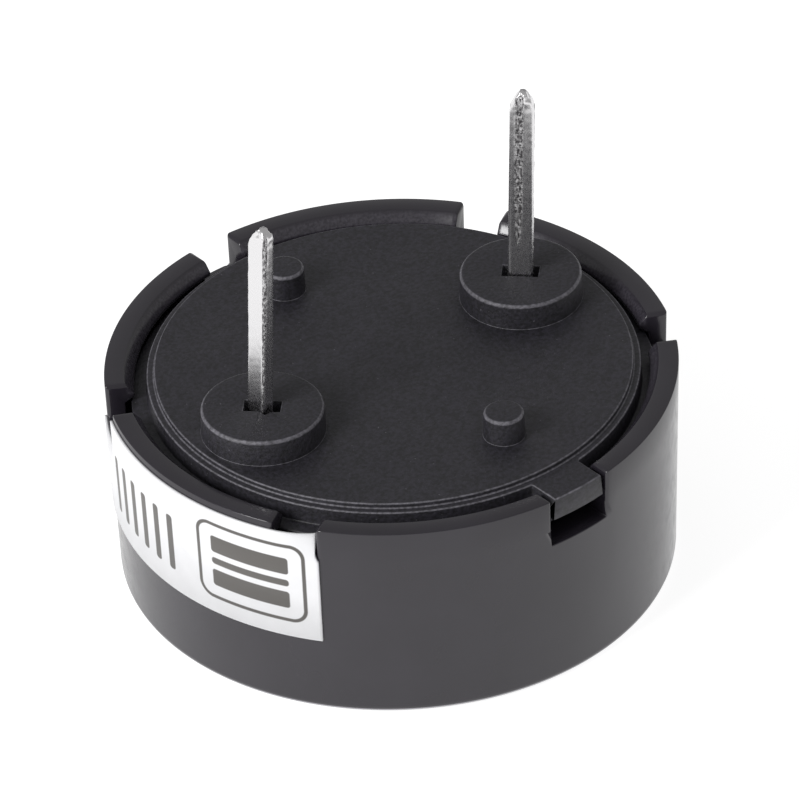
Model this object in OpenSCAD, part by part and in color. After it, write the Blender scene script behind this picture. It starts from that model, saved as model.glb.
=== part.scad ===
// Pin-type piezo sounder, sound face down and pins up.
// The origin is on the axis at the sound face, +Z towards the pins and +X along the line of the pins.

/* [Housing] */
// Diameter of the housing across its open rim
housing_d = 17; // [16.6:0.1:18]
// Height of the housing from sound face to rim
housing_h = 6.7; // [6.5:0.1:7.5]
// Radius that the wall loses to mould draft between rim and sound face
wall_draft = 0.2; // [0.05:0.05:0.3]
// Thickness of the wall below the cover
wall_t = 1.1; // [1:0.05:1.3]
// Rounding where the wall meets the sound face
foot_round = 0.3; // [0.1:0.05:0.4]
// Thickness of the sound face
face_t = 0.9; // [0.7:0.1:1]
// Diameter of the sound hole
sound_hole_d = 3; // [1.5:0.25:4]

/* [Rim] */
// Width of the rim at the open end
rim_w = 0.59; // [0.5:0.01:0.65]
// Width of the five plain notches
notch_w = 1.32; // [1.2:0.01:1.7]
// Depth of the five plain notches
notch_depth = 1.1; // [0.9:0.05:1.15]
// Width of the window that takes the cover's tab
window_w = 2.1; // [1.9:0.05:2.4]
// Depth of the window
window_depth = 1.63; // [1.4:0.01:1.7]
// How far the snap bead stands in from the rim's inner wall
bead_w = 0.28; // [0.12:0.01:0.3]

/* [Cover] */
// Height of the cover's centre above the rim
cover_rise = 0.13; // [0:0.01:0.25]
// Thickness of the cover's plate
cover_t = 0.9; // [0.8:0.05:1]
// Open groove between the cover's step and the rim
groove_w = 0.6; // [0.4:0.01:0.65]
// Width of the narrow step round the cover's centre
step_w = 0.22; // [0.1:0.01:0.3]
// Depth of that step below the cover's centre
step_drop = 0.17; // [0.1:0.01:0.25]
// Depth of the snap flange's upper face below the rim
flange_drop = 0.65; // [0.6:0.01:0.7]
// Thickness of the snap flange
flange_t = 0.6; // [0.5:0.05:0.65]
// Play between the snap flange and the housing
flange_play = 0.12; // [0.05:0.01:0.12]
// Width of the locating tab
tab_w = 1.76; // [1.5:0.01:1.8]
// Thickness of the locating tab
tab_t = 0.75; // [0.6:0.05:0.8]

/* [Bosses] */
// Height of the bosses and pips above the rim
standoff_h = 0.97; // [0.8:0.01:1.2]
// Diameter of a pin boss at its top
boss_d = 3.64; // [3:0.02:3.8]
// Diameter of a stand-off pip at its top
pip_d = 1.2; // [0.9:0.05:1.4]
// Distance between the two pips
pip_pitch = 10; // [9:0.1:10.5]
// Extra diameter of bosses and pips at their foot
foot_flare = 0.05; // [0:0.01:0.2]
// Length of the pocket round a pin
pocket_l = 1.1; // [0.9:0.02:1.2]
// Width of the pocket
pocket_w = 0.55; // [0.5:0.01:0.7]
// Depth of the pocket
pocket_depth = 0.6; // [0.3:0.05:0.8]

/* [Terminals] */
// Distance between the two pins
pin_pitch = 10; // [9.6:0.1:10.2]
// Width of a pin
pin_w = 0.75; // [0.6:0.01:0.8]
// Thickness of a pin
pin_t = 0.42; // [0.3:0.01:0.45]
// Length of a pin beyond the bosses
pin_l = 6.46; // [4:0.01:8]
// Height of a pin's tapered tip
tip_h = 0.6; // [0.4:0.05:0.8]
// Thickness of the spring leaves
leaf_t = 0.15; // [0.12:0.01:0.2]
// Turn of the rim terminal about its pin, so that its leaf reaches the plate's edge
rim_turn = 44; // [35:1:50]
// Play round each terminal in its slot
slot_play = 0.02; // [0.01:0.01:0.04]

/* [Sounder disc] */
// Play between the brass plate and the housing's wall
plate_play = 0.1; // [0.05:0.01:0.15]
// Thickness of the brass plate
plate_t = 0.15; // [0.1:0.01:0.2]
// Height of the plate's ledge above the sound face
ledge_z = 2; // [1.8:0.1:2.1]
// Width of the ledge under the plate's edge
ledge_w = 0.6; // [0.4:0.05:0.7]
// Bare brass left round the ceramic disc
brass_land = 2.05; // [1.9:0.05:2.3]
// Thickness of the ceramic disc
ceramic_t = 0.15; // [0.1:0.01:0.2]
// Bare ceramic left round its upper silver face
silver_inset = 0.45; // [0.3:0.05:0.8]
// Thickness of each silver face and of the bond film
film_t = 0.02; // [0.02:0.01:0.03]
// Width and height of the adhesive bead on the plate's edge
glue_w = 0.4; // [0.3:0.05:0.5]

/* [Label] */
// Height of the label
label_h = 3.8; // [3:0.02:4.2]
// Distance from the rim down to the label's upper edge
label_drop = 0.24; // [0.2:0.01:0.6]
// Angle at which the label starts, from +X
label_from = 144; // [130:0.5:150]
// Angle at which the label ends
label_to = 215; // [190:0.5:215]
// Thickness of the label
label_t = 0.08; // [0.05:0.01:0.1]

/* [Hidden] */
$fn = 96;

rim_r = housing_d / 2;
rim_in_r = rim_r - rim_w;
foot_r = rim_r - wall_draft;
bead_r = rim_in_r - bead_w;
cavity_r = rim_r - wall_t;
plate_r = cavity_r - plate_play;
ledge_r = plate_r - ledge_w;
notch_angles = [30, 90, 150, 210, 330];
window_angle = 270;

step_r = rim_in_r - groove_w;
centre_r = step_r - step_w;
centre_z = housing_h + cover_rise;
step_z = centre_z - step_drop;
flange_z = housing_h - flange_drop;
seat_z = flange_z - flange_t;
flange_r = rim_in_r - flange_play;
under_z = centre_z - cover_t;
recess_r = ledge_r;
standoff_z = housing_h + standoff_h;
inner_boss_d = 3.2;
inner_boss_z = under_z - 1;
tab_r = rim_r - 0.08;
edge_round = 0.12;

pin_x = pin_pitch / 2;
pin_top = standoff_z + pin_l;
shoulder_h = 0.6;
shoulder_w = 1.3;
shoulder_z = inner_boss_z - shoulder_h;
bend_z = shoulder_z - 0.5;
contact_l = 0.4;
ceramic_r = plate_r - brass_land;
glue_r = cavity_r - glue_w;
land_r = (ceramic_r + glue_r) / 2;
centre_reach = 2.8;
rim_reach = sqrt(land_r ^ 2 - (pin_x * sin(rim_turn)) ^ 2) - pin_x * cos(rim_turn);

plate_top = ledge_z + plate_t;
bond_top = plate_top + film_t;
lower_top = bond_top + film_t;
ceramic_top = lower_top + ceramic_t;
upper_top = ceramic_top + film_t;

label_top = housing_h - label_drop;
label_low = label_top - label_h;
corner_top = housing_h - notch_depth - 0.05;
corner_angle = 150 + asin(notch_w / 2 / rim_r);

// Radius of the drafted wall at a height
function wall_r(z) = foot_r + (rim_r - foot_r) * z / housing_h;

// Points of a quarter round, centre (cx, cz), from angle a0 to a1
function arc(cx, cz, r, a0, a1, n = 5) =
    [for (i = [0:n]) [cx + r * cos(a0 + (a1 - a0) * i / n), cz + r * sin(a0 + (a1 - a0) * i / n)]];

// Cup wall, sound face, ledge, cover seat and snap bead, all turned about the axis
module cup() {
    rotate_extrude()
        polygon(concat(
            [[sound_hole_d / 2, 0]],
            arc(wall_r(foot_round) - foot_round, foot_round, foot_round, -90, 0),
            arc(wall_r(housing_h - 0.08) - 0.08, housing_h - 0.08, 0.08, 0, 90, 3),
            [[rim_in_r, housing_h],
             [bead_r, housing_h - 0.34],
             [bead_r, flange_z + 0.2],
             [rim_in_r, flange_z],
             [rim_in_r, seat_z],
             [cavity_r, seat_z],
             [cavity_r, ledge_z],
             [ledge_r, ledge_z],
             [ledge_r, face_t],
             [sound_hole_d / 2, face_t]]));
}

// Square-sided cut through the rim at an angle
module rim_cut(angle, w, depth, from_r) {
    rotate([0, 0, angle])
        translate([from_r, -w / 2, housing_h - depth])
            cube([rim_r - from_r + 1, w, depth + 1]);
}

module housing() {
    color([0.10, 0.10, 0.11])
        difference() {
            cup();
            for (a = notch_angles) rim_cut(a, notch_w, notch_depth, bead_r - 0.1);
            rim_cut(window_angle, window_w, window_depth, cavity_r - 0.3);
        }
}

// Stepped disc of the cover with its snap flange, turned about the axis
module cover_disc() {
    rotate_extrude()
        polygon(concat(
            [[0, under_z],
             [recess_r, under_z],
             [recess_r, seat_z],
             [flange_r, seat_z],
             [flange_r, flange_z],
             [step_r, flange_z]],
            arc(step_r - 0.05, step_z - 0.05, 0.05, 0, 90, 2),
            [[centre_r, step_z]],
            arc(centre_r - edge_round, centre_z - edge_round, edge_round, 0, 90, 3),
            [[0, centre_z]]));
}

// Round post with a drafted side and a rounded top edge, from the cover's centre up to the stand-off height
module post(d, x, y, round) {
    translate([x, y, 0])
        rotate_extrude()
            polygon(concat(
                [[0, centre_z - 0.3], [d / 2 + foot_flare / 2, centre_z - 0.3], [d / 2 + foot_flare / 2, centre_z]],
                arc(d / 2 - round, standoff_z - round, round, 0, 90, 3),
                [[0, standoff_z]]));
}

// Locating tab that lies in the housing's window, its outer face following the wall
module tab() {
    intersection() {
        translate([-tab_w / 2, -rim_r, step_z - tab_t])
            cube([tab_w, rim_r - centre_r + 0.5, tab_t]);
        cylinder(r = tab_r, h = housing_h + 1);
    }
}

// Slot of a pin: a close slot all the way, and a pocket at the boss's top, turned alike in both bosses
module pin_slot(x, turn) {
    translate([x, 0, 0]) {
        rotate([0, 0, turn])
            translate([-pin_t / 2 - slot_play, -pin_w / 2 - slot_play, inner_boss_z - 1])
                cube([pin_t + 2 * slot_play, pin_w + 2 * slot_play, standoff_z - inner_boss_z + 2]);
        rotate([0, 0, rim_turn])
            translate([-pocket_w / 2, -pocket_l / 2, standoff_z - pocket_depth])
                cube([pocket_w, pocket_l, pocket_depth + 1]);
    }
}

module cover() {
    color([0.14, 0.14, 0.15])
        difference() {
            union() {
                cover_disc();
                tab();
                for (s = [-1, 1]) post(boss_d, s * pin_x, 0, 0.12);
                for (s = [-1, 1]) post(pip_d, 0, s * pip_pitch / 2, 0.12);
                for (s = [-1, 1])
                    translate([s * pin_x, 0, inner_boss_z])
                        cylinder(d = inner_boss_d, h = under_z - inner_boss_z + 0.3);
            }
            pin_slot(-pin_x, 0);
            pin_slot(pin_x, rim_turn);
        }
}

// Terminal about its own pin: the blade runs up, the leaf reaches out along +X and presses down at contact_z.
// Its tip is cut back by cut_a on the -Y side and by cut_b on the +Y side.
module terminal(reach, contact_z, cut_a, cut_b) {
    tip_y = (cut_a - cut_b) / 4;
    intersection() {
        // Outline seen along the leaf: blade with a tapered tip, shoulder, neck and leaf
        rotate([90, 0, 90])
            translate([0, 0, -2])
                linear_extrude(height = reach + 4)
                    polygon([
                        [-pin_w / 2, pin_top - cut_a], [tip_y - 0.08, pin_top], [tip_y + 0.08, pin_top],
                        [pin_w / 2, pin_top - cut_b], [pin_w / 2, shoulder_z + shoulder_h],
                        [shoulder_w / 2, shoulder_z + shoulder_h], [shoulder_w / 2, shoulder_z],
                        [pin_w / 2, shoulder_z], [pin_w / 2, contact_z - 1],
                        [-pin_w / 2, contact_z - 1], [-pin_w / 2, shoulder_z],
                        [-shoulder_w / 2, shoulder_z], [-shoulder_w / 2, shoulder_z + shoulder_h],
                        [-pin_w / 2, shoulder_z + shoulder_h]]);
        // Outline seen along the strip's width: blade, bend, leaf, contact foot and turned-up end
        rotate([90, 0, 0])
            translate([0, 0, -2])
                linear_extrude(height = 4)
                    polygon([
                        [-pin_t / 2, pin_top - tip_h / 2], [-0.08, pin_top], [0.08, pin_top],
                        [pin_t / 2, pin_top - tip_h / 2], [pin_t / 2, shoulder_z],
                        [-pin_t / 2 + leaf_t, shoulder_z - 0.3], [-pin_t / 2 + leaf_t, bend_z + 0.1],
                        [reach - contact_l / 2, contact_z + leaf_t], [reach + contact_l / 2, contact_z + leaf_t],
                        [reach + 0.4, contact_z + leaf_t + 0.2], [reach + 0.5, contact_z + leaf_t + 0.1],
                        [reach + contact_l / 2, contact_z], [reach - contact_l / 2, contact_z],
                        [-pin_t / 2, bend_z]]);
    }
}

module centre_terminal() {
    color([0.80, 0.80, 0.79])
        translate([-pin_x, 0, 0])
            terminal(centre_reach, upper_top, tip_h - 0.3, tip_h + 0.1);
}

module rim_terminal() {
    color([0.80, 0.80, 0.79])
        translate([pin_x, 0, 0])
            rotate([0, 0, rim_turn])
                terminal(rim_reach, plate_top, tip_h, tip_h);
}

module vibration_plate() {
    color([0.80, 0.64, 0.30])
        translate([0, 0, ledge_z])
            cylinder(r = plate_r, h = plate_t);
}

module adhesive_ring() {
    color([0.88, 0.88, 0.86])
        rotate_extrude()
            polygon([[glue_r, plate_top],
                     [cavity_r, plate_top],
                     [cavity_r, plate_top + glue_w],
                     [cavity_r - 0.4 * glue_w, plate_top + 0.75 * glue_w]]);
}

// Thin round layer of the sounder disc
module layer(r, z0, z1) {
    translate([0, 0, z0])
        cylinder(r = r, h = z1 - z0);
}

module bond_film() {
    color([0.75, 0.68, 0.45]) layer(ceramic_r, plate_top, bond_top);
}

module lower_electrode() {
    color([0.85, 0.85, 0.84]) layer(ceramic_r, bond_top, lower_top);
}

module ceramic_disc() {
    color([0.82, 0.78, 0.68]) layer(ceramic_r, lower_top, ceramic_top);
}

module upper_electrode() {
    color([0.88, 0.88, 0.87]) layer(ceramic_r - silver_inset, ceramic_top, upper_top);
}

// Film on the drafted wall between two heights and two angles
module wall_skin(z0, z1, a0, a1) {
    rotate([0, 0, a0])
        rotate_extrude(angle = a1 - a0)
            polygon([[wall_r(z0), z0], [wall_r(z0) + label_t, z0],
                     [wall_r(z1) + label_t, z1], [wall_r(z1), z1]]);
}

module label_film() {
    color([0.93, 0.93, 0.92])
        difference() {
            wall_skin(label_low, label_top, label_from, label_to);
            // Below the notch at 150 degrees the label's corner is cut away
            rotate([0, 0, corner_angle])
                translate([0, -housing_d, corner_top])
                    cube([housing_d, housing_d, housing_h]);
        }
}

housing();
cover();
centre_terminal();
rim_terminal();
vibration_plate();
adhesive_ring();
bond_film();
lower_electrode();
ceramic_disc();
upper_electrode();
label_film();
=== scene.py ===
import math

import bmesh
import bpy
from mathutils import Matrix, Vector, noise


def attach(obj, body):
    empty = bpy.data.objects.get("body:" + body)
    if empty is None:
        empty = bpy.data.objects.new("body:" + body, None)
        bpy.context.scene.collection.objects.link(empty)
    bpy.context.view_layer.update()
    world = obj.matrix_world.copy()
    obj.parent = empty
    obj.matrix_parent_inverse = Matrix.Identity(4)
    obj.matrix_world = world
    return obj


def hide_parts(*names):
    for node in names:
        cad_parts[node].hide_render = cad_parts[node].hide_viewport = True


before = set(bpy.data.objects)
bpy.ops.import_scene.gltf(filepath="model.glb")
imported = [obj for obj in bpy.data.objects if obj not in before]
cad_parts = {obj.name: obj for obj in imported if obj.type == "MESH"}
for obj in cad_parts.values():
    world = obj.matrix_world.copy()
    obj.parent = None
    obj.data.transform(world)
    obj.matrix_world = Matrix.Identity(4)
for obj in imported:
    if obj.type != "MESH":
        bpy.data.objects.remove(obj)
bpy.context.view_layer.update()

# ---------------------------------------------------------------- housing
# The cup that holds everything: one injection moulding in glossy black ABS, open towards the pins.
# Five notches and a window are moulded through its rim, and a snap bead inside the rim grips the cover.
# Every outer edge keeps the small radius that a mould's worn corner gives.
MM = 0.001
COLUMNS = 240
COLUMN_ANGLE = 360 / COLUMNS
MERGE = 0.0005
EDGE_ROUND = 0.03

# Millimetres and degrees, as in the CAD: R is a radius, Z a height, T a thickness, W a width
HOUSING_H = 6.7
RIM_R = 8.5
FOOT_R = 8.3
RIM_IN_R = 7.91
BEAD_R = 7.63
BEAD_TOP, BEAD_LOW = 6.36, 6.25
FLANGE_Z = 6.05
SEAT_Z = 5.45
CAVITY_R = 7.4
LEDGE_R, LEDGE_Z = 6.7, 2.0
HOLE_R = 1.5
FACE_T = 0.9
NOTCH_ANGLES = (30, 90, 150, 210, 330)
NOTCH_HALF, NOTCH_FLOOR = 0.66, 5.6
WINDOW_ANGLE = 270
WINDOW_HALF, WINDOW_FLOOR = 1.05, 5.07
FOOT_ROUND = 0.3
CORNER_ROUND = 0.12


def wall_r(z):
    """Outer radius of the drafted wall at a height."""
    return FOOT_R + (RIM_R - FOOT_R) * z / HOUSING_H


def quarter(cx, cz, radius, start, end, steps):
    """Points of an arc in a section, angles in degrees."""
    turn = [math.radians(start + (end - start) * i / steps) for i in range(steps + 1)]
    return [(cx + radius * math.cos(a), cz + radius * math.sin(a)) for a in turn]


def turned(section, closed):
    """A section of (radius, height) points in millimetres, turned about the axis."""
    bm = bmesh.new()
    verts = [bm.verts.new((r, 0, z)) for r, z in section]
    pairs = list(zip(verts, verts[1:])) + ([(verts[-1], verts[0])] if closed else [])
    edges = [bm.edges.new(pair) for pair in pairs]
    bmesh.ops.spin(bm, geom=verts + edges, cent=(0, 0, 0), axis=(0, 0, 1), angle=math.tau,
                   steps=COLUMNS, use_merge=True)
    bmesh.ops.remove_doubles(bm, verts=bm.verts, dist=MERGE)
    return bm


def column(v, middle):
    """How many turned columns a vertex stands from a middle angle."""
    angle = math.degrees(math.atan2(v.co.y, v.co.x)) - middle
    return round(((angle + 180) % 360 - 180) / COLUMN_ANGLE)


def set_radius(v, radius):
    """Moves a vertex straight out from the axis, or in, to a radius."""
    flat = Vector((v.co.x, v.co.y, 0)).normalized() * radius
    v.co = Vector((flat.x, flat.y, v.co.z))


def between(v, middle, half_width, low):
    """Whether a vertex lies between two upright planes beside a middle angle, from a height upwards."""
    a = math.radians(middle)
    aside = v.co.y * math.cos(a) - v.co.x * math.sin(a)
    along = v.co.x * math.cos(a) + v.co.y * math.sin(a)
    return along > 0 and abs(aside) < half_width + 0.002 and v.co.z > low - 0.005


def square_sides(verts, middle, half_width):
    """Slides the columns nearest to a cut's two sides round their own circles onto its planes."""
    nearest = round(math.degrees(math.asin(half_width / RIM_R)) / COLUMN_ANGLE)
    for v in [v for v in verts if abs(column(v, middle)) == nearest]:
        radius = math.hypot(v.co.x, v.co.y)
        side = 1 if column(v, middle) > 0 else -1
        angle = math.radians(middle) + side * math.asin(half_width / radius)
        v.co = Vector((radius * math.cos(angle), radius * math.sin(angle), v.co.z))


def close_sides(bm, middle, half_width, low):
    """Fills the two open sides of a cut."""
    for side in (-1, 1):
        def on_side(v):
            """Whether a vertex lies on this side of the cut."""
            inner = between(v, middle, half_width - 0.004, low)
            return between(v, middle, half_width, low) and not inner and column(v, middle) * side > 0

        chain = [e for e in bm.edges if e.is_boundary and all(on_side(v) for v in e.verts)]
        bmesh.ops.contextual_create(bm, geom=chain)


def cut_rim(bm, middle, half_width, low):
    """Takes the rim away between two parallel planes, from a height up, and closes the cut again."""
    square_sides([v for v in bm.verts if v.co.z > low - 0.005], middle, half_width)
    gone = [f for f in bm.faces if all(between(v, middle, half_width, low) for v in f.verts)]
    bmesh.ops.delete(bm, geom=gone, context="FACES")
    bottom = [e for e in bm.edges if e.is_boundary and all(
        between(v, middle, half_width, low) and abs(v.co.z - low) < 0.005 for v in e.verts)]
    bmesh.ops.bridge_loops(bm, edges=bottom)
    close_sides(bm, middle, half_width, low)


def soften(bm, width, steps, least=35, where=None):
    """Bevels every edge that turns by more than a number of degrees."""
    edges = [e for e in bm.edges if len(e.link_faces) == 2
             and e.calc_face_angle(0) > math.radians(least) and (where is None or where(e))]
    bmesh.ops.bevel(bm, geom=edges, affect="EDGES", offset=width, offset_type="OFFSET",
                    segments=steps, profile=0.5, material=-1, clamp_overlap=False)


def finished(bm, name, material, nodes, weighted=True):
    """Turns a mesh drawn in millimetres into a piece at the origin that stands for CAD nodes."""
    bmesh.ops.scale(bm, vec=(MM, MM, MM), verts=bm.verts)
    mesh = bpy.data.meshes.new(name)
    bm.to_mesh(mesh)
    bm.free()
    mesh.materials.append(material)
    mesh.polygons.foreach_set("use_smooth", [True] * len(mesh.polygons))
    piece = bpy.data.objects.new(name, mesh)
    bpy.context.scene.collection.objects.link(piece)
    if weighted:
        flat = piece.modifiers.new("flat_faces", "WEIGHTED_NORMAL")
        flat.weight = 80
        flat.keep_sharp = True
    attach(piece, "root")
    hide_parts(*nodes)
    return piece


def colour(code):
    """Linear colour of an sRGB hex value."""
    parts = [int(code[i:i + 2], 16) / 255 for i in (1, 3, 5)]
    return (*(c / 12.92 if c <= 0.04045 else ((c + 0.055) / 1.055) ** 2.4 for c in parts), 1.0)


def new_material(name):
    """A material with its shader, as (material, shader)."""
    material = bpy.data.materials.new(name)
    material.use_nodes = True
    return material, material.node_tree.nodes["Principled BSDF"]


def add(material, kind, settings=None, inputs=None):
    """Adds a node; an input is given a value or linked to another node's output."""
    tree = material.node_tree
    node = tree.nodes.new(kind)
    for key, value in (settings or {}).items():
        setattr(node, key, value)
    for key, value in (inputs or {}).items():
        if isinstance(value, bpy.types.NodeSocket):
            tree.links.new(value, node.inputs[key])
        else:
            node.inputs[key].default_value = value
    return node


# Moulded glossy ABS: a soft black skin that mirrors the light, with a faint orange peel about 1.5 mm
# long and a haze of fine handling marks.
gloss_abs, shader = new_material("glossy_moulded_black_abs")
place = add(gloss_abs, "ShaderNodeTexCoord").outputs["Object"]
peel = add(gloss_abs, "ShaderNodeTexNoise", inputs={"Vector": place, "Scale": 650.0, "Detail": 2.0})
marks = add(gloss_abs, "ShaderNodeTexNoise", inputs={"Vector": place, "Scale": 2600.0, "Detail": 4.0})
haze = add(gloss_abs, "ShaderNodeMapRange", inputs={
    "Value": marks.outputs["Fac"], "From Min": 0.35, "From Max": 0.75, "To Min": 0.16, "To Max": 0.26})
skin = add(gloss_abs, "ShaderNodeBump", inputs={
    "Height": peel.outputs["Fac"], "Strength": 0.05, "Distance": 0.00005})
black = add(gloss_abs, "ShaderNodeMix", {"data_type": "RGBA"}, {
    0: peel.outputs["Fac"], 6: colour("#211e24"), 7: colour("#29262d")})
# Painted highlight: the bead is painted grey in patches where its slope catches the light, and the foot's
# rounded edge is painted pale grey as a painted reflection of the white table
above_table = add(gloss_abs, "ShaderNodeSeparateXYZ", inputs={0: place}).outputs["Z"]
plan = add(gloss_abs, "ShaderNodeVectorMath", {"operation": "MULTIPLY"}, {0: place, 1: (1, 1, 0)})
axis_r = add(gloss_abs, "ShaderNodeVectorMath", {"operation": "LENGTH"}, {0: plan.outputs["Vector"]})
inside = add(gloss_abs, "ShaderNodeMapRange", inputs={
    "Value": axis_r.outputs["Value"], "From Min": 0.0079, "From Max": 0.00782, "To Min": 0.0, "To Max": 1.0})
high = add(gloss_abs, "ShaderNodeMapRange", inputs={
    "Value": above_table, "From Min": 0.0063, "From Max": 0.0064, "To Min": 0.0, "To Max": 1.0})
foot = add(gloss_abs, "ShaderNodeMath", {"operation": "COMPARE"}, {
    0: above_table, 1: 0.0001, 2: 0.00008})
bead = add(gloss_abs, "ShaderNodeMath", {"operation": "MULTIPLY"}, {
    0: inside.outputs["Result"], 1: high.outputs["Result"]})
bead_highlight_noise = add(gloss_abs, "ShaderNodeTexNoise", inputs={"Vector": place, "Scale": 12000.0, "Detail": 3.0})
patchy = add(gloss_abs, "ShaderNodeMapRange", inputs={
    "Value": bead_highlight_noise.outputs["Fac"], "From Min": 0.35, "From Max": 0.65, "To Min": 0.2, "To Max": 1.0})
painted_bead_highlight = add(gloss_abs, "ShaderNodeMath", {"operation": "MULTIPLY"}, {
    0: bead.outputs[0], 1: patchy.outputs["Result"]})
bead_highlight_tone = add(gloss_abs, "ShaderNodeMix", {"data_type": "RGBA"}, {
    0: painted_bead_highlight.outputs[0], 6: black.outputs[2], 7: colour("#403d44")})
# Painted reflection: a band from 0.02 to 0.18 mm above the table, the foot's rounded edge, is painted pale
# grey
tone = add(gloss_abs, "ShaderNodeMix", {"data_type": "RGBA"}, {
    0: foot.outputs[0], 6: bead_highlight_tone.outputs[2], 7: colour("#87858b")})
gloss_abs.node_tree.links.new(tone.outputs[2], shader.inputs["Base Color"])
gloss_abs.node_tree.links.new(haze.outputs["Result"], shader.inputs["Roughness"])
gloss_abs.node_tree.links.new(skin.outputs["Normal"], shader.inputs["Normal"])
shader.inputs["IOR"].default_value = 1.53

cup_section = (
    [(HOLE_R, 0)]
    + quarter(wall_r(FOOT_ROUND) - FOOT_ROUND, FOOT_ROUND, FOOT_ROUND, -90, 0, 6)
    + [(wall_r(WINDOW_FLOOR), WINDOW_FLOOR), (wall_r(NOTCH_FLOOR), NOTCH_FLOOR), (RIM_R, HOUSING_H),
       (RIM_IN_R, HOUSING_H), (BEAD_R, BEAD_TOP), (BEAD_R, BEAD_LOW), (RIM_IN_R, FLANGE_Z),
       (RIM_IN_R, NOTCH_FLOOR), (RIM_IN_R, SEAT_Z), (CAVITY_R, SEAT_Z), (CAVITY_R, WINDOW_FLOOR),
       (CAVITY_R, LEDGE_Z), (LEDGE_R, LEDGE_Z), (LEDGE_R, FACE_T), (HOLE_R, FACE_T)])
bm = turned(cup_section, closed=True)
for angle in NOTCH_ANGLES:
    cut_rim(bm, angle, NOTCH_HALF, NOTCH_FLOOR)
cut_rim(bm, WINDOW_ANGLE, WINDOW_HALF, WINDOW_FLOOR)
bmesh.ops.recalc_face_normals(bm, faces=bm.faces)


def cut_corner(e):
    """The edges where a cut's sides meet the rim's top and the outside of the wall."""
    low, high = sorted(math.hypot(v.co.x, v.co.y) for v in e.verts)
    upright = low > RIM_R - 0.06 and abs(e.verts[0].co.z - e.verts[1].co.z) > 0.8
    return upright or (high - low > 0.4 and all(v.co.z > HOUSING_H - 0.005 for v in e.verts))


soften(bm, CORNER_ROUND, 4, where=cut_corner)
soften(bm, EDGE_ROUND, 2)
finished(bm, "moulded_housing", gloss_abs, ["housing"])


# ---------------------------------------------------------------- cover
# The lid: one moulding in black ABS with a fine spark-eroded texture, snapped under the rim's bead.
# It carries a round boss for each pin and two small pips, which stand it off the circuit board, and it
# sits as far towards its tab as the play round its flange allows.
CENTRE_R, CENTRE_Z = 7.09, 6.83
STEP_R, STEP_Z = 7.31, 6.66
FLANGE_R = 7.79
UNDER_Z = 5.93
SEAT_SHIFT = 0.11
TAB_HALF, TAB_LOW = 0.88, 5.91
TAB_R = 8.42 - SEAT_SHIFT
TOP_Z = 7.67
BOSS_R, PIP_R = 1.82, 0.6
POST_DRAFT = 0.025
POST_ROUND, POST_FILLET = 0.12, 0.03
BURIED = 0.3
INNER_BOSS_R, INNER_BOSS_Z = 1.6, 4.93
PIN_X, PIP_Y = 5, 5
PIN_W, PIN_T = 0.75, 0.42
RIM_TURN = 44
SLOT_PLAY = 0.02
SLOT_W, SLOT_T = PIN_W + 2 * SLOT_PLAY, PIN_T + 2 * SLOT_PLAY
SLOT_LOW, SLOT_HIGH = 3.9, 8.7
POCKET_W, POCKET_L, POCKET_DEPTH = 0.55, 1.1, 0.6

cover_section = [(LEDGE_R, UNDER_Z), (LEDGE_R, SEAT_Z), (FLANGE_R, SEAT_Z), (FLANGE_R, TAB_LOW),
                 (FLANGE_R, FLANGE_Z), (STEP_R, FLANGE_Z), (STEP_R, STEP_Z), (CENTRE_R, STEP_Z),
                 (CENTRE_R, CENTRE_Z)]
bm = turned(cover_section, closed=False)


def in_tab(v):
    """Whether a vertex belongs to the strip of the cover's edge that the tab grows from."""
    return between(v, WINDOW_ANGLE, TAB_HALF, TAB_LOW) and math.hypot(v.co.x, v.co.y) > STEP_R - 0.05


edge_verts = [v for v in bm.verts if v.co.z > TAB_LOW - 0.005 and math.hypot(v.co.x, v.co.y) > STEP_R - 0.05]
square_sides(edge_verts, WINDOW_ANGLE, TAB_HALF)
gone = [f for f in bm.faces if all(in_tab(v) for v in f.verts)]
bmesh.ops.delete(bm, geom=gone, context="FACES")
outer_edges = []
for height, radius in ((STEP_Z, STEP_R), (TAB_LOW, FLANGE_R)):
    lip = [e for e in bm.edges if e.is_boundary and all(
        in_tab(v) and abs(v.co.z - height) < 0.005 and abs(math.hypot(v.co.x, v.co.y) - radius) < 0.02
        for v in e.verts)]
    grown = bmesh.ops.extrude_edge_only(bm, edges=lip)["geom"]
    for v in [g for g in grown if isinstance(g, bmesh.types.BMVert)]:
        set_radius(v, TAB_R)
    outer_edges += [g for g in grown if isinstance(g, bmesh.types.BMEdge)
                    and all(abs(math.hypot(v.co.x, v.co.y) - TAB_R) < 0.001 for v in g.verts)]
bmesh.ops.bridge_loops(bm, edges=outer_edges)
outer_verts = {v for e in outer_edges for v in e.verts}
widest = max(abs(v.co.x) for v in outer_verts)
for v in [v for v in outer_verts if abs(v.co.x) > widest - 0.01]:
    v.co.x = math.copysign(TAB_HALF, v.co.x)
    v.co.y = -math.sqrt(TAB_R ** 2 - TAB_HALF ** 2)
close_sides(bm, WINDOW_ANGLE, TAB_HALF, TAB_LOW)
for height in (CENTRE_Z, UNDER_Z):
    ring = [e for e in bm.edges if e.is_boundary and all(abs(v.co.z - height) < 0.001 for v in e.verts)]
    bmesh.ops.contextual_create(bm, geom=ring)
bmesh.ops.recalc_face_normals(bm, faces=bm.faces)
soften(bm, 0.05, 3)


def lathe_post(x, y, section):
    """A closed post turned about its own upright axis, as its own mesh in millimetres."""
    post = bmesh.new()
    verts = [post.verts.new((r, 0, z)) for r, z in section]
    edges = [post.edges.new(pair) for pair in zip(verts, verts[1:])]
    bmesh.ops.spin(post, geom=verts + edges, cent=(0, 0, 0), axis=(0, 0, 1), angle=math.tau,
                   steps=96, use_merge=True)
    bmesh.ops.remove_doubles(post, verts=post.verts, dist=MERGE)
    bmesh.ops.translate(post, vec=(x, y, 0), verts=post.verts)
    bmesh.ops.recalc_face_normals(post, faces=post.faces)
    return post


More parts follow.
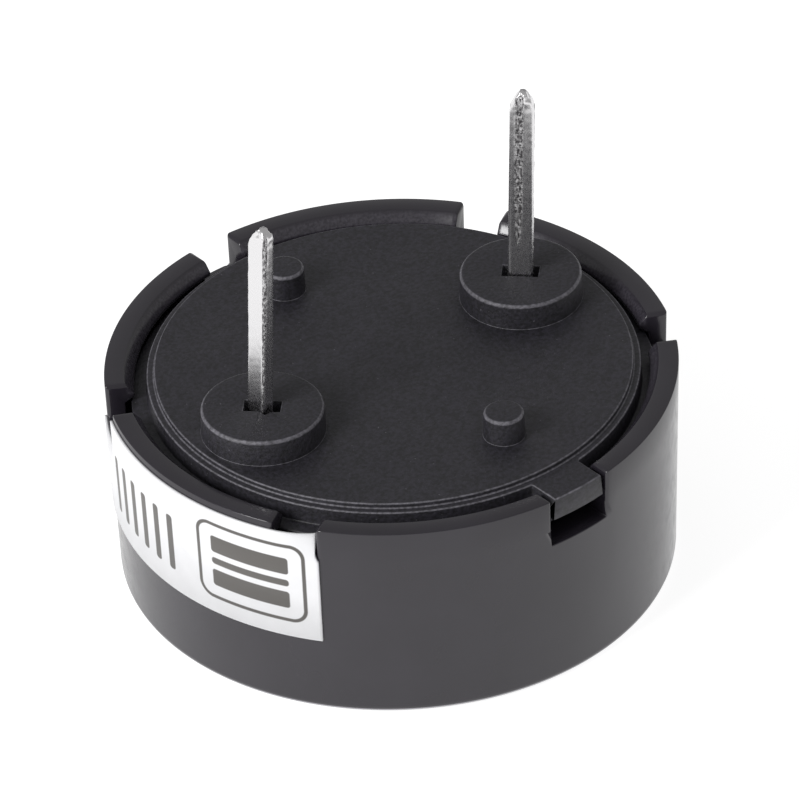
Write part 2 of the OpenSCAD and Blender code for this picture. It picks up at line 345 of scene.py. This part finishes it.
def box(width_x, width_y, low, high, turn, x):
    """A square block turned about its own upright axis."""
    block = bmesh.new()
    bmesh.ops.create_cube(block, size=1.0)
    bmesh.ops.scale(block, vec=(width_x, width_y, high - low), verts=block.verts)
    bmesh.ops.rotate(block, cent=(0, 0, 0), matrix=Matrix.Rotation(math.radians(turn), 3, "Z"),
                     verts=block.verts)
    bmesh.ops.translate(block, vec=(x, 0, (high + low) / 2), verts=block.verts)
    return block


def combined(bm, tools):
    """Joins or cuts one mesh by others, given as (operation, mesh) pairs, and returns the new mesh."""
    def as_object(source):
        """A throwaway object for the modifiers to work on."""
        mesh = bpy.data.meshes.new("tool")
        source.to_mesh(mesh)
        source.free()
        made = bpy.data.objects.new("tool", mesh)
        bpy.context.scene.collection.objects.link(made)
        return made

    body = as_object(bm)
    parts = []
    for operation, tool in tools:
        part = as_object(tool)
        change = body.modifiers.new("change", "BOOLEAN")
        change.operation = operation
        change.object = part
        change.solver = "EXACT"
        parts.append(part)
    shape = body.evaluated_get(bpy.context.evaluated_depsgraph_get()).to_mesh()
    result = bmesh.new()
    result.from_mesh(shape)
    for part in [body] + parts:
        mesh = part.data
        bpy.data.objects.remove(part)
        bpy.data.meshes.remove(mesh)
    return result


def post_section(top_r):
    """Half section of a post: buried foot, small fillet, drafted side and rounded top edge."""
    fillet_r = top_r + POST_DRAFT + POST_FILLET
    return ([(0, CENTRE_Z - BURIED), (fillet_r, CENTRE_Z - BURIED)]
            + quarter(fillet_r, CENTRE_Z + POST_FILLET - 0.01, POST_FILLET, 255, 180, 4)
            + quarter(top_r - POST_ROUND, TOP_Z - POST_ROUND, POST_ROUND, 0, 90, 5)
            + [(0, TOP_Z)])


inner_boss = [(0, INNER_BOSS_Z), (INNER_BOSS_R, INNER_BOSS_Z), (INNER_BOSS_R, UNDER_Z + BURIED),
              (0, UNDER_Z + BURIED)]
tools = []
for side in (-1, 1):
    tools.append(("UNION", lathe_post(PIN_X * side, 0, post_section(BOSS_R))))
    tools.append(("UNION", lathe_post(0, PIP_Y * side, post_section(PIP_R))))
    tools.append(("UNION", lathe_post(PIN_X * side, 0, inner_boss)))
for x, turn in ((-PIN_X, 0), (PIN_X, RIM_TURN)):
    tools.append(("DIFFERENCE", box(SLOT_T, SLOT_W, SLOT_LOW, SLOT_HIGH, turn, x)))
    tools.append(("DIFFERENCE", box(POCKET_W, POCKET_L, TOP_Z - POCKET_DEPTH, SLOT_HIGH, RIM_TURN, x)))
bm = combined(bm, tools)
bmesh.ops.remove_doubles(bm, verts=bm.verts, dist=MERGE)
soften(bm, EDGE_ROUND, 2, 50, lambda e: all(v.co.z > TOP_Z - 0.02 for v in e.verts))

# Spark-eroded ABS: a matt black skin of fine pits, a little uneven in tone and in sheen.
spark_abs, shader = new_material("spark_textured_black_abs")
place = add(spark_abs, "ShaderNodeTexCoord").outputs["Object"]
pits = add(spark_abs, "ShaderNodeTexNoise", inputs={"Vector": place, "Scale": 9000.0, "Detail": 3.0})
patches = add(spark_abs, "ShaderNodeTexNoise", inputs={"Vector": place, "Scale": 500.0, "Detail": 3.0})
rough = add(spark_abs, "ShaderNodeMapRange", inputs={
    "Value": patches.outputs["Fac"], "From Min": 0.3, "From Max": 0.7, "To Min": 0.5, "To Max": 0.62})
grain = add(spark_abs, "ShaderNodeBump", inputs={
    "Height": pits.outputs["Fac"], "Strength": 0.5, "Distance": 0.00004})
uneven = add(spark_abs, "ShaderNodeMapRange", inputs={
    "Value": pits.outputs["Fac"], "From Min": 0.35, "From Max": 0.65, "To Min": 0.0, "To Max": 1.0})
black = add(spark_abs, "ShaderNodeMix", {"data_type": "RGBA"}, {
    0: uneven.outputs["Result"], 6: colour("#161519"), 7: colour("#28262e")})
# Painted highlight: the rounded edges round the centre, its step, the bosses and the pips are painted pale in
# patches, and a noise scatters small pale flecks
edge_highlight_mask = add(spark_abs, "ShaderNodeAttribute", {"attribute_name": "edge"}).outputs["Fac"]
patchy_edge_highlight = add(spark_abs, "ShaderNodeMapRange", inputs={
    "Value": pits.outputs["Fac"], "From Min": 0.35, "From Max": 0.65, "To Min": 0.35, "To Max": 1.0})
painted_edge_highlight = add(spark_abs, "ShaderNodeMath", {"operation": "MULTIPLY"}, {
    0: edge_highlight_mask, 1: patchy_edge_highlight.outputs["Result"]})
fleck_noise = add(spark_abs, "ShaderNodeTexNoise", inputs={"Vector": place, "Scale": 9500.0, "Detail": 1.0})
flecks = add(spark_abs, "ShaderNodeMapRange", inputs={
    "Value": fleck_noise.outputs["Fac"], "From Min": 0.76, "From Max": 0.8, "To Min": 0.0, "To Max": 0.6})
edge_highlight_and_flecks = add(spark_abs, "ShaderNodeMath", {"operation": "MAXIMUM"}, {
    0: painted_edge_highlight.outputs[0], 1: flecks.outputs["Result"]})
# Painted highlight on the rounded edges, together with the flecks, mixed in as pale grey
tone = add(spark_abs, "ShaderNodeMix", {"data_type": "RGBA"}, {
    0: edge_highlight_and_flecks.outputs[0], 6: black.outputs[2], 7: colour("#68666d")})
spark_abs.node_tree.links.new(tone.outputs[2], shader.inputs["Base Color"])
spark_abs.node_tree.links.new(rough.outputs["Result"], shader.inputs["Roughness"])
spark_abs.node_tree.links.new(grain.outputs["Normal"], shader.inputs["Normal"])
shader.inputs["IOR"].default_value = 1.53
# Marks the vertices of the rounded edges on top, for the material's painted edge highlight
edge = bm.verts.layers.float.new("edge")
for v in bm.verts:
    rounded = all(0.08 < f.normal.z < 0.97 for f in v.link_faces)
    v[edge] = 1.0 if v.co.z > STEP_Z - 0.08 and rounded else 0.0
bmesh.ops.translate(bm, vec=(0, -SEAT_SHIFT, 0), verts=bm.verts)
finished(bm, "moulded_cover", spark_abs, ["cover"])

# ---------------------------------------------------------------- terminals
# Two pins stamped from tinned brass strip and pushed into the bosses. The faces keep the rolled,
# tinned surface, except for a band painted dark down one broad face of the pin to the rim as a painted
# dark reflection; the sheared edges are rough and darker, and the cropped tips carry a burr. Both
# pins stand a little askew above the bosses, as pins do after handling.
PIN_TOP = 14.13
LEAF_T = 0.15
SHOULDER_LOW, SHOULDER_TOP, SHOULDER_W = 4.33, INNER_BOSS_Z, 1.3
STRIP_TOP = 5.4
BLADE_LOW, FINE_FROM = 5.2, 6.7
RINGS = 124
BEND_Z = 3.83
TIP_H = 0.6
CORNER_R = 0.08


def outline(half_x, half_y, corner, step):
    """Points round a rectangle with rounded corners, its flats divided into steps."""
    points = []
    corners = ((1, 1), (-1, 1), (-1, -1), (1, -1))
    ways = ((-1, 0), (0, -1), (1, 0), (0, 1))
    for turn, ((side_x, side_y), way) in enumerate(zip(corners, ways)):
        centre_x, centre_y = side_x * (half_x - corner), side_y * (half_y - corner)
        arc = quarter(centre_x, centre_y, corner, 90 * turn, 90 * turn + 90, 3)
        flat = 2 * (half_y - corner) if turn % 2 else 2 * (half_x - corner)
        parts = math.ceil(flat / step)
        points += arc
        points += [(arc[-1][0] + way[0] * flat * i / parts, arc[-1][1] + way[1] * flat * i / parts)
                   for i in range(1, parts)]
    return points


def slide(below, cut, start, end):
    """A side of the section, which curves in from start to end over the pin's last cut millimetres."""
    return start + (end - start) * max(0.0, 1 - below / cut) ** 1.4


def blade(top, cut_front, cut_back):
    """The pin itself as a stack of fine rings, drawn in to a cropped tip."""
    half_t, half_w = PIN_T / 2, PIN_W / 2
    apex = (cut_front - cut_back) / 4
    bm = bmesh.new()
    rings = []
    for z in [BLADE_LOW] + [FINE_FROM + (top - FINE_FROM) * i / RINGS for i in range(RINGS + 1)]:
        x_half = slide(top - z, TIP_H / 2, half_t, 0.09)
        y_low = slide(top - z, cut_front, -half_w, apex - 0.08)
        y_high = slide(top - z, cut_back, half_w, apex + 0.08)
        rings.append([bm.verts.new((x / half_t * x_half, y_low + (y / PIN_W + 0.5) * (y_high - y_low), z))
                      for x, y in outline(half_t, half_w, CORNER_R, 0.045)])
    for low, high in zip(rings, rings[1:]):
        for i in range(len(low)):
            bm.faces.new((low[i - 1], low[i], high[i], high[i - 1]))
    bm.faces.new(rings[0][::-1])
    bm.faces.new(rings[-1])
    return bm


def terminal(name, node, x, turn, reach, contact_z, tip, askew, jog, tear_and_dark_reflection, material):
    """One terminal: pin, shoulder, bend and spring leaf, drawn about its own pin and then put in place."""
    half_t, half_w = PIN_T / 2, PIN_W / 2
    side = [(-half_t, STRIP_TOP), (half_t, STRIP_TOP), (half_t, SHOULDER_LOW),
            (-half_t + LEAF_T, SHOULDER_LOW - 0.3), (-half_t + LEAF_T, BEND_Z + 0.1),
            (reach - 0.2, contact_z + LEAF_T), (reach + 0.2, contact_z + LEAF_T),
            (reach + 0.4, contact_z + LEAF_T + 0.2), (reach + 0.5, contact_z + LEAF_T + 0.1),
            (reach + 0.2, contact_z), (reach - 0.2, contact_z), (-half_t, BEND_Z)]
    bm = bmesh.new()
    face = bm.faces.new([bm.verts.new((px, -half_w, pz)) for px, pz in side])
    grown = bmesh.ops.extrude_face_region(bm, geom=[face])["geom"]
    bmesh.ops.translate(bm, vec=(0, PIN_W, 0), verts=[g for g in grown if isinstance(g, bmesh.types.BMVert)])
    bmesh.ops.recalc_face_normals(bm, faces=bm.faces)
    bm = combined(bm, [("UNION", box(PIN_T, SHOULDER_W, SHOULDER_LOW, SHOULDER_TOP, 0, 0)),
                       ("UNION", blade(*tip))])
    bmesh.ops.remove_doubles(bm, verts=bm.verts, dist=MERGE)
    bm.normal_update()
    # Marks the sheared edges and, on the pin to the rim, a band of painted dark reflection
    tear_and_dark_reflection_layer = bm.verts.layers.float.new("tear_and_dark_reflection")
    for v in bm.verts:
        rise = max(0.0, (v.co.z - TOP_Z) / (tip[0] - TOP_Z))
        v[tear_and_dark_reflection_layer] = max(0.0, min(1.0, tear_and_dark_reflection(v.co.x, v.co.y, rise)))
        if v.co.z > 6.8:
            place = v.co + Vector((x, x, 0))
            grooves = noise.noise(Vector((place.x * 12, place.y * 12, place.z * 3)))
            lumps = noise.noise(place * 7)
            end = max(0.0, 1 - (tip[0] - v.co.z) / TIP_H)
            push = 0.003 * lumps + v[tear_and_dark_reflection_layer] * (0.010 * grooves + 0.010 * lumps - 0.012) + 0.06 * end * lumps
            v.co += v.normal * push
            v.co.z = min(v.co.z, tip[0])
    bmesh.ops.rotate(bm, cent=(0, 0, 0), matrix=Matrix.Rotation(math.radians(turn), 3, "Z"), verts=bm.verts)
    for v in bm.verts:
        v.co += Vector((x, -SEAT_SHIFT, 0)) + Vector((0.78, -0.63, 0)) * askew * max(0.0, v.co.z - 7.4)
        v.co.y += jog * max(0.0, min(1.0, (v.co.z - 7.1) / 0.4))
    return finished(bm, name, material, [node])


def edge_tear(px, py, rise):
    """The front edge tears near one corner, more so towards the tip; the back edge tears right across."""
    if py < -0.33:
        return (0.05 + 0.14 * rise - (px + PIN_T / 2)) / 0.05
    return (py - 0.32) / 0.04


def reflection_band_and_edge_tear(px, py, rise):
    """The outer face carries a band of painted dark reflection, wider towards the boss; the two sheared edges
    are roughened.
    """
    if px < -0.15:
        return (0.14 - abs(py - 0.07)) / 0.05 * min(1.0, max(0.0, (rise - 0.12) / 0.3))
    return (abs(py) - 0.33) / 0.04 if px > -0.1 else 0.0


# Tinned brass: a white metal, bright and finely streaked along the strip where it was rolled, and
# grooved, speckled and dark where the punch tore it; a band on the pin to the rim is painted dark in streaks
# as a painted dark reflection.
tinned, shader = new_material("tinned_rolled_brass_strip")
place = add(tinned, "ShaderNodeTexCoord").outputs["Object"]
tear_and_reflection_mask = add(tinned, "ShaderNodeAttribute", {"attribute_name": "tear_and_dark_reflection"}).outputs["Fac"]
long_way = add(tinned, "ShaderNodeMapping", inputs={"Vector": place, "Scale": (16000.0, 16000.0, 7000.0)})
streaks = add(tinned, "ShaderNodeTexNoise", inputs={
    "Vector": long_way.outputs["Vector"], "Scale": 1.0, "Detail": 3.0})
specks = add(tinned, "ShaderNodeTexNoise", inputs={"Vector": place, "Scale": 12000.0, "Detail": 4.0})
ragged = add(tinned, "ShaderNodeMath", {"operation": "MULTIPLY_ADD"}, {
    0: specks.outputs["Fac"], 1: 0.6, 2: tear_and_reflection_mask})
tear_and_reflection_area = add(tinned, "ShaderNodeMapRange", inputs={
    "Value": ragged.outputs[0], "From Min": 0.75, "From Max": 0.9, "To Min": 0.0, "To Max": 1.0})
broken = add(tinned, "ShaderNodeMapRange", inputs={
    "Value": streaks.outputs["Fac"], "From Min": 0.42, "From Max": 0.6, "To Min": 0.0, "To Max": 1.0})
# Painted dark reflection and sheared metal: where the mask is set, the tin is painted dark grey in streaks
tear_and_reflection_tone = add(tinned, "ShaderNodeMix", {"data_type": "RGBA"}, {
    0: broken.outputs["Result"], 6: colour("#626062"), 7: colour("#d0cfd0")})
tone = add(tinned, "ShaderNodeMix", {"data_type": "RGBA"}, {
    0: tear_and_reflection_area.outputs["Result"], 6: colour("#dddcdd"), 7: tear_and_reflection_tone.outputs[2]})
rough = add(tinned, "ShaderNodeMapRange", inputs={
    "Value": streaks.outputs["Fac"], "From Min": 0.3, "From Max": 0.7, "To Min": 0.25, "To Max": 0.29})
rougher = add(tinned, "ShaderNodeMath", {"operation": "MULTIPLY_ADD"}, {
    0: tear_and_reflection_area.outputs["Result"], 1: 0.2, 2: rough.outputs["Result"]})
depth = add(tinned, "ShaderNodeMapRange", inputs={
    "Value": tear_and_reflection_area.outputs["Result"], "From Min": 0.0, "From Max": 1.0, "To Min": 0.015, "To Max": 1.0})
relief = add(tinned, "ShaderNodeMath", {"operation": "MULTIPLY"}, {
    0: depth.outputs["Result"], 1: specks.outputs["Fac"]})
grain = add(tinned, "ShaderNodeBump", inputs={
    "Height": relief.outputs[0], "Strength": 0.8, "Distance": 0.00004})
tinned.node_tree.links.new(tone.outputs[2], shader.inputs["Base Color"])
tinned.node_tree.links.new(rougher.outputs[0], shader.inputs["Roughness"])
tinned.node_tree.links.new(grain.outputs["Normal"], shader.inputs["Normal"])
shader.inputs["Metallic"].default_value = 1.0

PLATE_TOP = 2.15
UPPER_TOP = 2.36
CENTRE_REACH = 2.8
CERAMIC_R, GLUE_R = 5.25, 7.0
LAND_R = (CERAMIC_R + GLUE_R) / 2
RIM_REACH = (math.sqrt(LAND_R ** 2 - (PIN_X * math.sin(math.radians(RIM_TURN))) ** 2)
             - PIN_X * math.cos(math.radians(RIM_TURN)))
terminal("terminal_to_centre", "centre_terminal", -PIN_X, 0, CENTRE_REACH, UPPER_TOP,
         (PIN_TOP - 0.15, 0.3, 0.7), 0.042, SEAT_SHIFT, edge_tear, tinned)
terminal("terminal_to_rim", "rim_terminal", PIN_X, RIM_TURN, RIM_REACH, PLATE_TOP,
         (PIN_TOP, 0.55, 0.6), 0.033, 0.0, reflection_band_and_edge_tear, tinned)

# ---------------------------------------------------------------- sounder disc
# A brass plate resting on the ledge, with a silvered piezo ceramic disc bonded to it and a bead of
# silicone round its edge. All of it is inside; the plate shows through the sound hole.
rolled_brass, shader = new_material("rolled_brass_sheet")
place = add(rolled_brass, "ShaderNodeTexCoord").outputs["Object"]
rolled = add(rolled_brass, "ShaderNodeMapping", inputs={"Vector": place, "Scale": (400.0, 9000.0, 400.0)})
lines = add(rolled_brass, "ShaderNodeTexNoise", inputs={
    "Vector": rolled.outputs["Vector"], "Scale": 1.0, "Detail": 4.0})
tone = add(rolled_brass, "ShaderNodeMix", {"data_type": "RGBA"}, {
    0: lines.outputs["Fac"], 6: colour("#b98f45"), 7: colour("#d8b46a")})
rough = add(rolled_brass, "ShaderNodeMapRange", inputs={
    "Value": lines.outputs["Fac"], "From Min": 0.3, "From Max": 0.7, "To Min": 0.25, "To Max": 0.4})
rolled_brass.node_tree.links.new(tone.outputs[2], shader.inputs["Base Color"])
rolled_brass.node_tree.links.new(rough.outputs["Result"], shader.inputs["Roughness"])
shader.inputs["Metallic"].default_value = 1.0


def mottled(name, dark_code, light_code, scale, roughness, metallic=0.0, relief=0.00001):
    """A matt surface with a soft mottle, for the fired, cast and cured layers."""
    material, face = new_material(name)
    spots = add(material, "ShaderNodeTexNoise", inputs={
        "Vector": add(material, "ShaderNodeTexCoord").outputs["Object"], "Scale": scale, "Detail": 4.0})
    mixed = add(material, "ShaderNodeMix", {"data_type": "RGBA"}, {
        0: spots.outputs["Fac"], 6: colour(dark_code), 7: colour(light_code)})
    bumps = add(material, "ShaderNodeBump", inputs={
        "Height": spots.outputs["Fac"], "Strength": 0.4, "Distance": relief})
    material.node_tree.links.new(mixed.outputs[2], face.inputs["Base Color"])
    material.node_tree.links.new(bumps.outputs["Normal"], face.inputs["Normal"])
    face.inputs["Roughness"].default_value = roughness
    face.inputs["Metallic"].default_value = metallic
    return material


fired_silver = mottled("fired_silver_paste", "#c9c8c4", "#e6e5e1", 4000.0, 0.45, 1.0)
layers = {
    "vibration_plate": rolled_brass,
    "adhesive_ring": mottled("cured_white_silicone", "#d3d2cb", "#e4e3dd", 1500.0, 0.4),
    "bond_film": mottled("cured_amber_epoxy", "#a98f4c", "#c4aa63", 1200.0, 0.3),
    "lower_electrode": fired_silver,
    "ceramic_disc": mottled("sintered_piezo_ceramic", "#c9bd9c", "#dcd2b6", 5000.0, 0.6),
    "upper_electrode": fired_silver,
}
for node, material in layers.items():
    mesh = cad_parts[node].data
    mesh.materials.clear()
    mesh.materials.append(material)

# ---------------------------------------------------------------- label
# A strip of white satin polyester film stuck round the wall. It is trimmed below one notch, spans
# the next as a free flap that leans in a little, and carries plain bars and a rounded frame only.
LABEL_LOW, LABEL_HIGH = 2.66, 6.46
LABEL_FROM, LABEL_TO = 144, 215
LABEL_T = 0.08
CORNER_ANGLE = 150 + math.degrees(math.asin(NOTCH_HALF / RIM_R))
CORNER_TOP, STRIP_FROM = 5.55, 5.65
FLAP_FROM = 205.5
FLAP_LEAN = 0.32
CURL_FROM = 214.2


def label_angle(place):
    """Angle of a point about the axis, from 0 to 360 degrees."""
    return math.degrees(math.atan2(place.y, place.x)) % 360


bm = bmesh.new()
heights = [LABEL_LOW, CORNER_TOP] + [STRIP_FROM + (LABEL_HIGH - STRIP_FROM) * i / 6 for i in range(7)]
verts = [bm.verts.new((wall_r(z), 0, z)) for z in heights]
edges = [bm.edges.new(pair) for pair in zip(verts, verts[1:])]
bmesh.ops.rotate(bm, cent=(0, 0, 0), matrix=Matrix.Rotation(math.radians(LABEL_FROM), 3, "Z"), verts=bm.verts)
bmesh.ops.spin(bm, geom=verts + edges, cent=(0, 0, 0), axis=(0, 0, 1),
               angle=math.radians(LABEL_TO - LABEL_FROM), steps=2 * (LABEL_TO - LABEL_FROM))
gone = [f for f in bm.faces if f.calc_center_median().z > CORNER_TOP
        and label_angle(f.calc_center_median()) < CORNER_ANGLE]
bmesh.ops.delete(bm, geom=gone, context="FACES")
for f in bm.faces:
    middle = f.calc_center_median()
    if f.normal.x * middle.x + f.normal.y * middle.y < 0:
        f.normal_flip()
print_map = bm.loops.layers.uv.new("print")
for f in bm.faces:
    for loop in f.loops:
        loop[print_map].uv = (math.radians(label_angle(loop.vert.co)) * RIM_R, loop.vert.co.z)
sides = bmesh.ops.extrude_face_region(bm, geom=bm.faces[:])["geom"]
for v in [g for g in sides if isinstance(g, bmesh.types.BMVert)]:
    set_radius(v, math.hypot(v.co.x, v.co.y) + LABEL_T)
bmesh.ops.recalc_face_normals(bm, faces=bm.faces)
for v in bm.verts:
    bend = max(0.0, (v.co.z - CORNER_TOP) / (LABEL_HIGH - CORNER_TOP))
    along = max(0.0, (label_angle(v.co) - FLAP_FROM) / (LABEL_TO - FLAP_FROM))
    lean = FLAP_LEAN * bend * along ** 2
    back_turn = math.radians(max(0.0, label_angle(v.co) - CURL_FROM) * min(1.0, 5 * bend))
    set_radius(v, math.hypot(v.co.x, v.co.y) - lean)
    v.co = Matrix.Rotation(-back_turn, 3, "Z") @ v.co
    v.co.z -= lean * bend * 0.15

# Satin white film with brown-grey print laid out on the strip's own flat map, in millimetres.
film, shader = new_material("printed_white_polyester_film")
print_place = add(film, "ShaderNodeUVMap", {"uv_map": "print"}).outputs["UV"]


def panel(centre_degrees, centre_z, half_length, half_height, corner):
    """Ink of a rounded panel: 1 inside and 0 outside, with a soft edge of 0.03 mm."""
    centre = (math.radians(centre_degrees) * RIM_R, centre_z, 0)
    flats = (half_length - corner, half_height - corner, 1)
    place = print_place
    none = (0, 0, 0)
    steps = (("SUBTRACT", centre), ("ABSOLUTE", none), ("SUBTRACT", flats), ("MAXIMUM", none))
    for operation, value in steps:
        moved = add(film, "ShaderNodeVectorMath", {"operation": operation}, {0: place, 1: value})
        place = moved.outputs["Vector"]
    reach = add(film, "ShaderNodeVectorMath", {"operation": "LENGTH"}, {0: place})
    return add(film, "ShaderNodeMapRange", inputs={
        "Value": reach.outputs["Value"], "From Min": corner - 0.015, "From Max": corner + 0.015,
        "To Min": 1.0, "To Max": 0.0}).outputs["Result"]


FRAME_ANGLE, FRAME_Z = 199.9, 4.62
ink = add(film, "ShaderNodeMath", {"operation": "SUBTRACT"}, {
    0: panel(FRAME_ANGLE, FRAME_Z, 1.84, 1.42, 0.5), 1: panel(FRAME_ANGLE, FRAME_Z, 1.72, 1.3, 0.38)})
shapes = [(FRAME_ANGLE, FRAME_Z + rise, 1.3, half) for rise, half in ((0.62, 0.3), (0.0, 0.12), (-0.62, 0.3))]
shapes += [(angle, 4.4, 0.13, 1.0) for angle in (157, 161.5, 166, 170.5, 175, 179.5)]
for angle, z, half_length, half_height in shapes:
    ink = add(film, "ShaderNodeMath", {"operation": "MAXIMUM"}, {
        0: ink.outputs[0], 1: panel(angle, z, half_length, half_height, 0.1)})
fibres = add(film, "ShaderNodeTexNoise", inputs={
    "Vector": add(film, "ShaderNodeTexCoord").outputs["Object"], "Scale": 1500.0, "Detail": 4.0})
white = add(film, "ShaderNodeMix", {"data_type": "RGBA"}, {
    0: fibres.outputs["Fac"], 6: colour("#d9d9db"), 7: colour("#e6e6e8")})
tone = add(film, "ShaderNodeMix", {"data_type": "RGBA"}, {
    0: ink.outputs[0], 6: white.outputs[2], 7: colour("#55524f")})
bumps = add(film, "ShaderNodeBump", inputs={
    "Height": fibres.outputs["Fac"], "Strength": 0.15, "Distance": 0.00003})
film.node_tree.links.new(tone.outputs[2], shader.inputs["Base Color"])
film.node_tree.links.new(bumps.outputs["Normal"], shader.inputs["Normal"])
shader.inputs["Roughness"].default_value = 0.42
finished(bm, "label_strip", film, ["label_film"], weighted=False)

# ---------------------------------------------------------------- floor, light and camera
# A plain white table that glows like a light table, under soft studio light from above and the left.
# It lies a hair below the sound face and can be seen through from underneath.
FLOOR_R_M = 1.2
FLOOR_DROP_M = 0.00002
stage_bm = bmesh.new()
bmesh.ops.create_circle(stage_bm, cap_ends=True, radius=FLOOR_R_M, segments=64)
bmesh.ops.translate(stage_bm, vec=(0, 0, -FLOOR_DROP_M), verts=stage_bm.verts)
floor_mesh = bpy.data.meshes.new("floor")
stage_bm.to_mesh(floor_mesh)
stage_bm.free()
floor = bpy.data.objects.new("floor", floor_mesh)
bpy.context.scene.collection.objects.link(floor)
pale, shader = new_material("pale_table")
shader.inputs["Base Color"].default_value = colour("#a8a8a8")
shader.inputs["Roughness"].default_value = 0.9
shader.inputs["Emission Color"].default_value = (1, 1, 1, 1)
shader.inputs["Emission Strength"].default_value = 0.85
from_below = add(pale, "ShaderNodeNewGeometry").outputs["Backfacing"]
clear = add(pale, "ShaderNodeBsdfTransparent").outputs["BSDF"]
one_way = add(pale, "ShaderNodeMixShader", inputs={0: from_below, 1: shader.outputs["BSDF"], 2: clear})
output = pale.node_tree.nodes["Material Output"]
pale.node_tree.links.new(one_way.outputs["Shader"], output.inputs["Surface"])
floor_mesh.materials.append(pale)

world = bpy.data.worlds.new("studio")
bpy.context.scene.world = world
world.use_nodes = True
world.node_tree.nodes["Background"].inputs["Color"].default_value = (1, 1, 1, 1)
world.node_tree.nodes["Background"].inputs["Strength"].default_value = 0.42

soft_box = bpy.data.lights.new("key_light", "AREA")
soft_box.shape = "SQUARE"
soft_box.size = 0.2
soft_box.energy = 2.2
lamp = bpy.data.objects.new("key_light", soft_box)
lamp.location = (-0.45, 0.0, 0.3)
lamp.rotation_mode = "QUATERNION"
lamp.rotation_quaternion = (Vector((0, 0, 0.006)) - lamp.location).to_track_quat("-Z", "Y")
bpy.context.scene.collection.objects.link(lamp)

AZIMUTH, ELEVATION, ROLL = -39.1, 35.95, 2.3
DISTANCE_MM = 304
LENS_MM = 463
AIM_RIGHT_MM, AIM_DOWN_MM = 0.26, 1.1
a, e, r = (math.radians(angle) for angle in (AZIMUTH, ELEVATION, ROLL))
back = Vector((math.sin(a) * math.cos(e), -math.cos(a) * math.cos(e), math.sin(e)))
sideways = Vector((math.cos(a), math.sin(a), 0))
upright = back.cross(sideways)
right = sideways * math.cos(r) - upright * math.sin(r)
up_axis = upright * math.cos(r) + sideways * math.sin(r)
aim = Vector((0, 0, HOUSING_H)) + right * AIM_RIGHT_MM - up_axis * AIM_DOWN_MM
lens = bpy.data.cameras.new("camera")
lens.sensor_width = 36
lens.lens = LENS_MM
lens.clip_start, lens.clip_end = 0.01, 10
camera = bpy.data.objects.new("camera", lens)
camera.matrix_world = Matrix((
    (right.x, up_axis.x, back.x, (aim.x + back.x * DISTANCE_MM) * MM),
    (right.y, up_axis.y, back.y, (aim.y + back.y * DISTANCE_MM) * MM),
    (right.z, up_axis.z, back.z, (aim.z + back.z * DISTANCE_MM) * MM),
    (0, 0, 0, 1)))
bpy.context.scene.collection.objects.link(camera)
bpy.context.scene.camera = camera
bpy.context.scene.view_settings.view_transform = "Standard"
